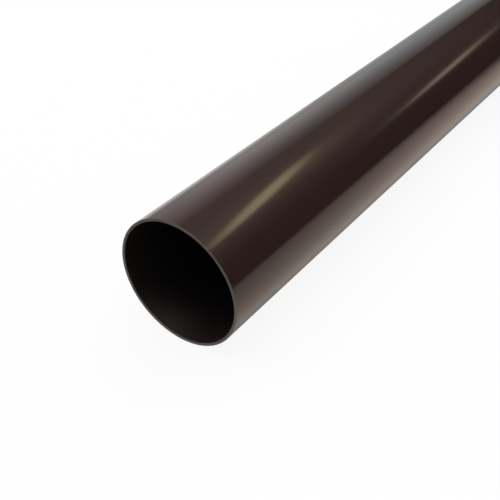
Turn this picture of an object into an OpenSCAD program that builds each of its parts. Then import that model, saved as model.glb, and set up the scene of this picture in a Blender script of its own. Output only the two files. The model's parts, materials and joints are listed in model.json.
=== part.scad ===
// Round rainwater downpipe: one plain length of extruded rigid PVC pipe, sawn
// square at both ends and deburred. It lies along X on the floor, which is
// Z = 0, with the origin under the middle of its length.

/* [Pipe] */
// Length as sold, from one cut face to the other
pipe_length = 2500; // [500:50:6000]
// Outside diameter, which sockets and wall clips take
outside_diameter = 68; // [40:0.5:125]
// Thickness of the extruded wall
wall_thickness = 1.5; // [1.2:0.1:5]

/* [Cut ends] */
// Width of the 45 degree edge left by deburring, where a cut face meets the outside
outer_edge_break = 0.3; // [0.05:0.05:0.5]
// Width of the 45 degree edge left by deburring, where a cut face meets the bore
bore_edge_break = 0.4; // [0.05:0.05:0.5]

/* [Hidden] */
outside_radius = outside_diameter / 2;
bore_radius = outside_radius - wall_thickness;
segments_round = 120;

// Half-section of one cut end, from the bore round the cut face to the outside,
// as [distance from the pipe's axis, distance in from the cut face].
cut_end = [
    [bore_radius, bore_edge_break],
    [bore_radius + bore_edge_break, 0],
    [outside_radius - outer_edge_break, 0],
    [outside_radius, outer_edge_break],
];

// Half-section of the whole pipe: one cut end, then the same end turned round
// at the other end of the length.
wall_section = concat(
    cut_end,
    [for (i = [len(cut_end) - 1 : -1 : 0]) [cut_end[i].x, pipe_length - cut_end[i].y]]
);

// The extruded wall, turned about its own axis and laid down along X.
module pipe() {
    color("#2f231f")
        translate([-pipe_length / 2, 0, outside_radius])
            rotate([0, 90, 0])
                rotate_extrude($fn = segments_round)
                    polygon(wall_section);
}

pipe();
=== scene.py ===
import json
import math

import bmesh
import bpy
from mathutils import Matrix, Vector


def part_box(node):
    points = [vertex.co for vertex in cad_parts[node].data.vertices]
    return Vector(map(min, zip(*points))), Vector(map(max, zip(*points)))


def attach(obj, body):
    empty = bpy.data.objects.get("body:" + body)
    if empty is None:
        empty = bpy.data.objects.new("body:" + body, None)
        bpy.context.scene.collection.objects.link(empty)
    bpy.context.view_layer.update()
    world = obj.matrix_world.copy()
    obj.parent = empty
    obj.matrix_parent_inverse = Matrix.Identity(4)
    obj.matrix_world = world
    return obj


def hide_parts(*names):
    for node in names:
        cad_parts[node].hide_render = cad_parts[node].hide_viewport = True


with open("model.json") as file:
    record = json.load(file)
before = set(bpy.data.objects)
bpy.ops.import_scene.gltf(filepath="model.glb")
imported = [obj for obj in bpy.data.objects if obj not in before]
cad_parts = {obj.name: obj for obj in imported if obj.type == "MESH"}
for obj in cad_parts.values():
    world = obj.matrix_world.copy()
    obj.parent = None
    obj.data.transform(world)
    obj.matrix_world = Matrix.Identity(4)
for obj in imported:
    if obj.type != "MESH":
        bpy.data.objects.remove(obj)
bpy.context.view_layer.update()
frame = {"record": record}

# ---------------------------------------------------------------------------------------------
# The pipe: one plain length of round rainwater pipe, extruded in rigid PVC that is dark brown
# right through. The sizing sleeve behind the die leaves its outside smooth and glossy. A saw
# cuts it square at both ends, and the saw's burr is scraped off by hand, inside and out.
# ---------------------------------------------------------------------------------------------
low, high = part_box("pipe")
near_end, far_end = low.x, high.x
axis_height = (low.z + high.z) / 2
mounts = {mount["name"]: mount for mount in frame["record"]["mounts"]}
outside_radius = mounts["outside_near_end"]["dims"]["r_mm"] / 1000
bore_radius = mounts["bore"]["dims"]["r_mm"] / 1000
# Sizes from here on are in metres.
outer_edge_width = 0.0003
bore_edge_width = 0.0004
edge_steps = 4
sides_round = 256
ring_spacing = 0.05
first_ring_in = 0.005
# Hand scraping leaves an edge uneven, in waves: how many go round the pipe, where each starts,
# and the share of the edge's usual width that it adds or takes.
scraper_waves = ((3, 0.4, 0.12), (8, 2.1, 0.08), (19, 5.0, 0.06), (41, 1.3, 0.05))
# The finishes, in the order in which the mesh is given their materials.
OUTSIDE, SAWN, BORE = range(3)

wall = bmesh.new()
# The map that a bake of the finishes is laid on.
bake_map = wall.loops.layers.uv.new("OFBake")


def ring_of(corner):
    """One ring of points round the wall. corner gives the x and the radius at an angle."""
    points = []
    for side in range(sides_round):
        turn = 2 * math.pi * side / sides_round
        x, radius = corner(turn)
        y, z = -radius * math.sin(turn), axis_height + radius * math.cos(turn)
        points.append(wall.verts.new((x, y, z)))
    return points


def plain_rings(radius):
    """The rings of a wall between its two scraped edges, from the near end to the far one."""
    start, end = near_end + first_ring_in, far_end - first_ring_in
    bands = round((end - start) / ring_spacing)
    stations = [start + (end - start) * band / bands for band in range(bands + 1)]
    return [ring_of(lambda turn, x=x: (x, radius)) for x in stations]


def scraped(turn, stroke):
    """How wide the scraper left an edge at an angle round the pipe, as a share of its usual
    width. stroke sets where on the edge its unevenness falls."""
    uneven = sum(size * math.sin(count * turn + start + stroke) for count, start, size in scraper_waves)
    return 1 + uneven


def edge_rings(end, inward, radius, across, width, stroke):
    """The rings of one scraped edge, rounded from the wall to the cut face. inward is the way
    along X into the pipe, and across is the way into the thickness of the wall."""

    def bent(angle):
        def corner(turn):
            wide = width * scraped(turn, stroke)
            x = end + inward * wide * (1 - math.sin(angle))
            return x, radius + across * wide * (1 - math.cos(angle))

        return ring_of(corner)

    return [bent(math.pi / 2 * step / edge_steps) for step in range(edge_steps + 1)]


near_outer = edge_rings(near_end, 1, outside_radius, -1, outer_edge_width, stroke=2.6)
far_outer = edge_rings(far_end, -1, outside_radius, -1, outer_edge_width, stroke=0.0)
far_bore = edge_rings(far_end, -1, bore_radius, 1, bore_edge_width, stroke=4.1)
near_bore = edge_rings(near_end, 1, bore_radius, 1, bore_edge_width, stroke=1.5)

# The four stretches of the section, each from ring to ring: out along the outside, over the far
# cut, back along the bore and over the near cut. Each has its finish and its strip of the map,
# which a wall fills with its length across and a cut with its ring of turns across.
stretches = (
    (OUTSIDE, [near_outer[0], *plain_rings(outside_radius), far_outer[0]], (0.00, 0.56)),
    (SAWN, [*far_outer, *far_bore[::-1]], (0.965, 1.00)),
    (BORE, [far_bore[0], *plain_rings(bore_radius)[::-1], near_bore[0]], (0.58, 0.90)),
    (SAWN, [*near_bore, *near_outer[::-1]], (0.92, 0.955)),
)
for finish, rings, (strip_start, strip_end) in stretches:
    reach = [0.0]
    for ring, after in zip(rings, rings[1:]):
        reach.append(reach[-1] + (after[0].co - ring[0].co).length)
    for index, (ring, after) in enumerate(zip(rings, rings[1:])):
        for side in range(sides_round):
            beside = (side + 1) % sides_round
            face = wall.faces.new((ring[side], ring[beside], after[beside], after[side]))
            face.material_index = finish
            face.smooth = True
            for loop, sides, step in zip(face.loops, (side, side + 1, side + 1, side), (0, 0, 1, 1)):
                along, around = reach[index + step] / reach[-1], sides / sides_round
                if finish == SAWN:
                    along, around = around, along
                loop[bake_map].uv = (along, strip_start + (strip_end - strip_start) * around)
    # A crisp line parts each finish from the one before it.
    for side in range(sides_round):
        wall.edges.get((rings[0][side], rings[0][(side + 1) % sides_round])).smooth = False
bmesh.ops.recalc_face_normals(wall, faces=wall.faces)
pipe_mesh = bpy.data.meshes.new("downpipe")
wall.to_mesh(pipe_mesh)
wall.free()
pipe = bpy.data.objects.new("downpipe", pipe_mesh)
bpy.context.scene.collection.objects.link(pipe)
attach(pipe, "root")
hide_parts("pipe")


class Channel:
    """One socket of a finish. Sums, differences and products of channels add the Math nodes for
    them, and node() adds any other node."""

    # Where a Mix node keeps its two colours and the colour that it gives.
    MIX_START, MIX_END, MIX_RESULT = 6, 7, 2

    def __init__(self, tree, socket=None):
        self.tree, self.socket = tree, socket

    def node(self, kind, settings=(), inputs=(), output=0):
        """Adds a node, sets it up, gives its inputs their values or links, and gives its output."""
        made = self.tree.nodes.new(kind)
        for name, value in dict(settings).items():
            if name == "stops":
                ramp = made.color_ramp
                while len(ramp.elements) < len(value):
                    ramp.elements.new(1.0)
                for stop, (position, colour) in zip(ramp.elements, value):
                    stop.position, stop.color = position, (*colour, 1.0)
            else:
                setattr(made, name, value)
        for name, value in dict(inputs).items():
            if isinstance(value, Channel):
                self.tree.links.new(value.socket, made.inputs[name])
            else:
                made.inputs[name].default_value = value
        return Channel(self.tree, made.outputs[output]) if made.outputs else None

    def maths(self, operation, *values):
        """Adds a Math node on channels and numbers."""
        return self.node("ShaderNodeMath", {"operation": operation}, dict(enumerate(values)))

    def __add__(self, other):
        return self.maths("ADD", self, other)

    def __radd__(self, other):
        return self.maths("ADD", other, self)

    def __sub__(self, other):
        return self.maths("SUBTRACT", self, other)

    def __rsub__(self, other):
        return self.maths("SUBTRACT", other, self)

    def __mul__(self, other):
        return self.maths("MULTIPLY", self, other)

    def __rmul__(self, other):
        return self.maths("MULTIPLY", other, self)

    def times(self, other):
        """These coordinates times others, or this colour times another, part by part."""
        return self.node("ShaderNodeVectorMath", {"operation": "MULTIPLY"}, {0: self, 1: other})

    def stretched(self, x, y, z):
        """Coordinates in units of x, y and z metres."""
        return self.times((1 / x, 1 / y, 1 / z))

    def length(self):
        """How far these coordinates are from 0, 0, 0."""
        return self.node("ShaderNodeVectorMath", {"operation": "LENGTH"}, {0: self}, output="Value")

    def part(self, axis):
        """The X, Y or Z of these coordinates."""
        return self.node("ShaderNodeSeparateXYZ", inputs={0: self}, output=axis)

    def noise(self, detail=2.0, rough=0.5):
        """Smooth noise at these coordinates, about 0.5 and from 0 to 1."""
        inputs = {"Vector": self, "Scale": 1.0, "Detail": detail, "Roughness": rough}
        return self.node("ShaderNodeTexNoise", inputs=inputs)

    def blend(self, start, end):
        """From colour start at 0 to colour end at 1."""
        inputs = {"Factor": self, self.MIX_START: start, self.MIX_END: end}
        return self.node("ShaderNodeMix", {"data_type": "RGBA"}, inputs, output=self.MIX_RESULT)

    def ramp(self, *stops):
        """From colour to colour through the stops, each of them a value and its colour."""
        return self.node("ShaderNodeValToRGB", {"stops": stops}, {0: self})

    def mix_surfaces(self, start, end):
        """From surface start at 0 to surface end at 1."""
        return self.node("ShaderNodeMixShader", inputs={0: self, 1: start, 2: end})

    def fade(self, start, end):
        """Rises smoothly from 0 at start to 1 at end."""
        span = {"Value": self, "From Min": start, "From Max": end}
        return self.node("ShaderNodeMapRange", {"interpolation_type": "SMOOTHSTEP"}, span)

    def relief(self, height, depth, under=None):
        """The bumps of a height from 0 to 1 that is depth metres deep, over the bumps under it."""
        inputs = {"Strength": 1.0, "Distance": depth, "Height": height}
        if under:
            inputs["Normal"] = under
        return self.node("ShaderNodeBump", inputs=inputs)


def new_finish(name):
    """An empty material, the channel that makes its nodes, and the place on the object."""
    material = bpy.data.materials.new(name)
    material.use_nodes = True
    material.node_tree.nodes.clear()
    make = Channel(material.node_tree)
    return material, make, make.node("ShaderNodeTexCoord", output="Object")


def rgba(red, green, blue):
    """A colour with no see-through, from how much red, green and blue light it sends back."""
    return (red, green, blue, 1.0)


# The outside: the sleeve's gloss, with the faint lines that the die draws along the whole length
# and the slight swell that uneven cooling leaves under them. The pigment varies a little, in
# long soft clouds.
pvc_refractive_index = 1.54
upvc_dark = rgba(0.0265, 0.0150, 0.0128)
upvc_light = rgba(0.0315, 0.0178, 0.0150)
cloud_length, cloud_width = 0.11, 0.03
die_line_length, die_line_pitch, die_line_depth = 0.9, 0.0013, 0.000006
swell_length, swell_width, swell_depth = 0.09, 0.02, 0.00004
cloud_share, die_line_share = 0.7, 0.3
gloss_roughness, cloud_dulling, die_line_dulling = 0.10, 0.05, 0.03

gloss_upvc, make, place = new_finish("gloss_brown_upvc")
die_lines = place.stretched(die_line_length, die_line_pitch, die_line_pitch).noise(detail=3.0, rough=0.6)
swell = place.stretched(swell_length, swell_width, swell_width).noise(detail=1.0)
clouds = place.stretched(cloud_length, cloud_width, cloud_width).noise(detail=3.0)
dulled = cloud_dulling * (clouds - 0.5) + die_line_dulling * (die_lines - 0.5)
shell = make.node(
    "ShaderNodeBsdfPrincipled",
    inputs={
        "Base Color": (cloud_share * clouds + die_line_share * die_lines).blend(upvc_dark, upvc_light),
        "Roughness": gloss_roughness + dulled,
        "IOR": pvc_refractive_index,
        "Normal": make.relief(swell, swell_depth, under=make.relief(die_lines, die_line_depth)),
    },
)
make.node("ShaderNodeOutputMaterial", inputs={"Surface": shell})
pipe_mesh.materials.append(gloss_upvc)

# The sawn ends: the saw and the scraper have torn through the gloss, so the same PVC is paler
# and matt there, with the saw's close parallel marks across the narrow face. From halfway down
# the face is painted paler still: painted light, for the light that the lower rim catches.
sawn_dark = rgba(0.052, 0.044, 0.041)
sawn_light = rgba(0.125, 0.110, 0.104)
saw_mark_length, saw_mark_pitch, saw_mark_depth = 0.02, 0.0007, 0.00004
torn_grain = 0.0004
saw_mark_share, torn_share = 0.6, 0.4
cut_shallow, cut_deep = 0.32, 0.68
# Painted light: the heights where the face starts turning paler and where it is fully paler.
painted_light_start_height, painted_light_full_height = 0.050, 0.034
cut_share, painted_light_share = 0.55, 0.45
sawn_roughness, torn_dulling = 0.5, 0.2

sawn_upvc, make, place = new_finish("sawn_brown_upvc")
saw_marks = place.stretched(saw_mark_length, saw_mark_length, saw_mark_pitch).noise(rough=0.6)
torn = place.stretched(torn_grain, torn_grain, torn_grain).noise(detail=3.0, rough=0.7)
rough_cut = (saw_mark_share * saw_marks + torn_share * torn).fade(cut_shallow, cut_deep)
# Painted light: paler from halfway down, for the light that the lower rim catches.
painted_low_light = place.part("Z").fade(painted_light_start_height, painted_light_full_height)
face = make.node(
    "ShaderNodeBsdfPrincipled",
    inputs={
        "Base Color": (cut_share * rough_cut + painted_light_share * painted_low_light).blend(sawn_dark, sawn_light),
        "Roughness": sawn_roughness + torn_dulling * torn,
        "IOR": pvc_refractive_index,
        "Normal": make.relief(rough_cut, saw_mark_depth),
    },
)
make.node("ShaderNodeOutputMaterial", inputs={"Surface": face})
pipe_mesh.materials.append(sawn_upvc)

# The bore: it cools without a sleeve against it, so its skin is duller than the outside and its
# die lines are coarser. Its colour is painted far darker than the same PVC outside, as painted
# shade inside the pipe.
# Painted shade: the bore's colours, kept far darker than the outside's for the shade inside the pipe.
bore_painted_shade_dark = rgba(0.0068, 0.0050, 0.0045)
bore_painted_shade_light = rgba(0.0082, 0.0061, 0.0055)
bore_cloud_length, bore_cloud_width = 0.08, 0.02
bore_line_length, bore_line_pitch, bore_line_depth = 0.5, 0.0024, 0.000012
bore_roughness, bore_cloud_dulling = 0.50, 0.08

bore_upvc, make, place = new_finish("bore_brown_upvc")
bore_lines = place.stretched(bore_line_length, bore_line_pitch, bore_line_pitch).noise(detail=3.0, rough=0.6)
clouds = place.stretched(bore_cloud_length, bore_cloud_width, bore_cloud_width).noise(detail=3.0)
skin = make.node(
    "ShaderNodeBsdfPrincipled",
    inputs={
        "Base Color": (cloud_share * clouds + die_line_share * bore_lines).blend(bore_painted_shade_dark, bore_painted_shade_light),
        "Roughness": bore_roughness + bore_cloud_dulling * (clouds - 0.5),
        "IOR": pvc_refractive_index,
        "Normal": make.relief(bore_lines, bore_line_depth),
    },
)
make.node("ShaderNodeOutputMaterial", inputs={"Surface": skin})
pipe_mesh.materials.append(bore_upvc)

# ---------------------------------------------------------------------------------------------
# The floor: a wide pale sheet that the pipe lies on, plain white to the camera apart from the
# pipe's shadow. The gloss shows it lit: warm on the pipe's right, as far as a straight soft edge
# with a dark room beyond, and white turning to grey on its left.
# ---------------------------------------------------------------------------------------------
sheet_reach = 40.0
white = rgba(1.0, 1.0, 1.0)
sheet_white = rgba(0.85, 0.85, 0.85)
# The share of its white that the sheet has without a lamp, to the camera and in the gloss.
own_white_share, own_mirrored_share = 0.90, 0.6
# Each pair is where a change starts and ends: from the sheet's middle, across it, along it from
# the near end, or on a slant between the two.
plain_white = (1.5, 5.0)
sides_meet = (0.03, 0.17)

dark_room = rgba(0.0, 0.0, 0.0)
room_edge = (-0.345, -0.20)
right_dim = rgba(0.25, 0.20, 0.17)
right_slant = 0.64
right_lit = (0.66, 0.31)
right_lit_width = 0.24
foot_shade_along = (0.10, 0.30)
foot_shade_across = (-0.043, -0.031)
foot_shade_depth = 0.13

left_near = rgba(0.96, 0.96, 0.95)
left_along = rgba(0.50, 0.50, 0.49)
left_far_off = rgba(0.55, 0.54, 0.53)
left_slant = 0.9
left_near_edge = (-0.06, 0.28)
left_far_edge = (0.14, 0.42)


def flat_piece(name, length, width, finish):
    """A level rectangle about its own middle, which is a piece of the stage."""
    sheet = bmesh.new()
    corners = [(x * length / 2, y * width / 2, 0.0) for x, y in ((-1, -1), (1, -1), (1, 1), (-1, 1))]
    sheet.faces.new([sheet.verts.new(corner) for corner in corners])
    mesh = bpy.data.meshes.new(name)
    sheet.to_mesh(mesh)
    sheet.free()
    mesh.materials.append(finish)
    piece = bpy.data.objects.new(name, mesh)
    bpy.context.scene.collection.objects.link(piece)
    return piece


floor_finish, make, place = new_finish("pale_floor")
camera_ray = make.node("ShaderNodeLightPath", output="Is Camera Ray")
glossy_ray = make.node("ShaderNodeLightPath", output="Is Glossy Ray")
past_near = place.part("X") - near_end
across = place.part("Y")

beside_right = ((across + right_lit_width) * (1 / right_lit_width)).ramp(
    (0.0, (0.52, 0.42, 0.36)),
    (0.42, (0.73, 0.595, 0.51)),
    (0.63, (0.86, 0.71, 0.59)),
    (0.80, (1.0, 0.86, 0.72)),
    (0.85, (0.93, 0.82, 0.73)),
    (0.90, (0.40, 0.36, 0.33)),
)
foot_shade = past_near.fade(*foot_shade_along) * across.fade(*foot_shade_across)
lit_share = (right_slant * past_near - across).fade(*right_lit) - foot_shade_depth * foot_shade
right = across.fade(*room_edge).blend(dark_room, lit_share.blend(right_dim, beside_right))

beside_left = (past_near - left_slant * across).fade(*left_near_edge).blend(left_near, left_along)
left = across.fade(*left_far_edge).blend(beside_left, left_far_off)

mirrored = across.fade(*sides_meet).blend(right, left)
paint = glossy_ray.blend(camera_ray.blend(sheet_white, white), mirrored)
lit_sheet = make.node("ShaderNodeBsdfDiffuse", inputs={"Color": paint})
own_light = make.node("ShaderNodeEmission", inputs={"Color": paint, "Strength": 1.0})
far_off = place.length().fade(*plain_white)
own_white = own_white_share + (1 - own_white_share) * far_off
own_share = own_white * camera_ray + own_mirrored_share * glossy_ray
surface = own_share.mix_surfaces(lit_sheet, own_light)
make.node("ShaderNodeOutputMaterial", inputs={"Surface": surface})
floor = flat_piece("floor", 2 * sheet_reach, 2 * sheet_reach, floor_finish)
floor.location.z = low.z

# ---------------------------------------------------------------------------------------------
# The white card: it stands along the pipe's left side, and only the gloss shows it. The light on
# it is brightest low down, not far past the near end, and gets dimmer and cooler further along.
# ---------------------------------------------------------------------------------------------
card_distance = 0.60
card_height = 1.10
card_length = 8.0
# What is left of the light at the near end and far along, and where it changes.
card_near_share = rgba(0.74, 0.72, 0.70)
card_far_share = rgba(0.68, 0.84, 0.85)
card_rise_start = near_end + 0.40
card_brightest = near_end + 0.63
card_fall_end = near_end + 1.30


def only_mirrored(piece):
    """Leaves a piece of the stage for the pipe's gloss to show, and takes it out of all else."""
    piece.visible_camera = False
    piece.visible_diffuse = False
    piece.visible_shadow = False
    piece.visible_transmission = False
    piece.visible_volume_scatter = False


card_finish, make, place = new_finish("white_card")
along = place.part("X")
risen = place.part("Y") * (1 / card_height) + 0.5
glow = risen.ramp(
    (0.0, (0.58, 0.56, 0.55)),
    (0.14, (0.88, 0.80, 0.80)),
    (0.26, (0.90, 0.81, 0.81)),
    (0.38, (0.86, 0.75, 0.75)),
    (0.55, (0.74, 0.60, 0.60)),
    (0.75, (0.57, 0.44, 0.44)),
    (1.0, (0.38, 0.29, 0.29)),
)
rising = along.fade(card_rise_start, card_brightest).blend(card_near_share, white)
share = along.fade(card_brightest, card_fall_end).blend(rising, card_far_share)
card_light = make.node("ShaderNodeEmission", inputs={"Color": glow.times(share)})
make.node("ShaderNodeOutputMaterial", inputs={"Surface": card_light})
card = flat_piece("white_card", card_length, card_height, card_finish)
card.location = (0.0, card_distance, low.z + card_height / 2)
card.rotation_euler.x = math.radians(90)
only_mirrored(card)

# ---------------------------------------------------------------------------------------------
# The two ceiling panels: warm lights with soft edges and a faint round halo, hung level at one
# height and turned the same way. Only the gloss shows them, as a streak each.
# ---------------------------------------------------------------------------------------------
panel_height = 1.02
panel_turn = math.radians(65)
# The part of the way from a panel's middle to its edge that is at full brightness.
panel_core = 0.25


def hang_panel(name, middle, length, width, colour, brightness, halo_reach, halo_share):
    """One panel, which fades from its core to its edge. halo_share of its glow is the halo."""
    panel_finish, make, place = new_finish(name)
    across_panel = place.stretched(length / 2, width / 2, 1.0).length()
    across_halo = place.stretched(halo_reach, halo_reach, 1.0).length()
    halo = halo_share * across_halo.fade(1.0, 0.0)
    bright = (1 - halo_share) * across_panel.fade(1.0, panel_core) + halo
    glow = make.node("ShaderNodeEmission", inputs={"Color": colour, "Strength": brightness})
    clear = make.node("ShaderNodeBsdfTransparent")
    make.node("ShaderNodeOutputMaterial", inputs={"Surface": bright.mix_surfaces(clear, glow)})
    panel = flat_piece(name, 2 * halo_reach, 2 * halo_reach, panel_finish)
    panel.location = (*middle, panel_height)
    panel.rotation_euler.z = panel_turn
    only_mirrored(panel)


hang_panel(
    "near_panel",
    middle=(near_end + 1.00, -0.312),
    length=0.73,
    width=0.32,
    colour=rgba(1.0, 0.87, 0.53),
    brightness=3.2,
    halo_reach=0.58,
    halo_share=0.11,
)
hang_panel(
    "far_panel",
    middle=(near_end + 2.45, -0.92),
    length=0.70,
    width=0.62,
    colour=rgba(1.0, 0.84, 0.60),
    brightness=1.5,
    halo_reach=0.75,
    halo_share=0.16,
)

# ---------------------------------------------------------------------------------------------
# The room: an even soft light from all round, white to the camera past the floor's edge. The
# gloss shows its dark walls, its dim warm ceiling, and a small bright patch of it nearly overhead,
# on the near end's side.
# ---------------------------------------------------------------------------------------------
soft_light_strength = 0.45
patch_light = rgba(12.0, 10.5, 9.8)
# How far forward and how far up a direction points where the patch starts and where it is full.
patch_forward = (0.0, -0.12)
patch_upward = (0.90, 0.97)

room = bpy.data.worlds.new("studio_room")
bpy.context.scene.world = room
room.use_nodes = True
room.node_tree.nodes.clear()
make = Channel(room.node_tree)
camera_ray = make.node("ShaderNodeLightPath", output="Is Camera Ray")
glossy_ray = make.node("ShaderNodeLightPath", output="Is Glossy Ray")
direction = make.node("ShaderNodeTexCoord", output="Generated")
forward, upward = direction.part("X"), direction.part("Z")
ceiling = upward.ramp(
    (0.0, (0.0, 0.0, 0.0)),
    (0.36, (0.01, 0.01, 0.01)),
    (0.45, (0.07, 0.06, 0.06)),
    (0.55, (0.18, 0.14, 0.12)),
    (0.67, (0.29, 0.23, 0.20)),
    (0.78, (0.36, 0.29, 0.27)),
)
in_patch = forward.fade(*patch_forward) * upward.fade(*patch_upward)
mirrored = in_patch.blend(ceiling, patch_light)
soft_light = make.node("ShaderNodeBackground", inputs={"Color": white, "Strength": soft_light_strength})
mirrored_room = make.node("ShaderNodeBackground", inputs={"Color": mirrored})
backdrop = make.node("ShaderNodeBackground", inputs={"Color": white, "Strength": 1.0})
unseen = glossy_ray.mix_surfaces(soft_light, mirrored_room)
make.node("ShaderNodeOutputWorld", inputs={"Surface": camera_ray.mix_surfaces(unseen, backdrop)})

# ---------------------------------------------------------------------------------------------
# The overhead softbox: a wide level panel that lights the pipe and the floor evenly from above.
# Neither the camera nor the gloss sees it.
# ---------------------------------------------------------------------------------------------
softbox_length, softbox_width = 6.0, 4.0
softbox_place = (0.0, 0.4, 2.4)
softbox_watts = 80.0

softbox = bpy.data.lights.new("overhead_softbox", "AREA")
softbox.shape = "RECTANGLE"
softbox.size, softbox.size_y = softbox_length, softbox_width
softbox.energy = softbox_watts
softbox_lamp = bpy.data.objects.new("overhead_softbox", softbox)
softbox_lamp.location = softbox_place
softbox_lamp.visible_glossy = False
softbox_lamp.visible_camera = False
bpy.context.scene.collection.objects.link(softbox_lamp)

# ---------------------------------------------------------------------------------------------
# The camera: it stands behind the near cut, above it and to the pipe's right, and looks down
# along the pipe past the cut end.
# ---------------------------------------------------------------------------------------------
near_cut_middle = Vector((near_end, 0.0, axis_height))
stand = Vector((-0.2075, -0.1901, 0.2281))
heading = math.radians(35.654)
pitch = math.radians(36.712)
sensor_width_mm = 36.0
lens_mm = 56.51

lens_data = bpy.data.cameras.new("camera")
lens_data.sensor_width = sensor_width_mm
lens_data.lens = lens_mm
camera = bpy.data.objects.new("camera", lens_data)
camera.location = near_cut_middle + stand
level_part = math.cos(pitch)
look = Vector((level_part * math.cos(heading), level_part * math.sin(heading), -math.sin(pitch)))
camera.rotation_mode = "QUATERNION"
camera.rotation_quaternion = look.to_track_quat("-Z", "Y")
bpy.context.scene.collection.objects.link(camera)
bpy.context.scene.camera = camera
bpy.context.scene.view_settings.view_transform = "Standard"
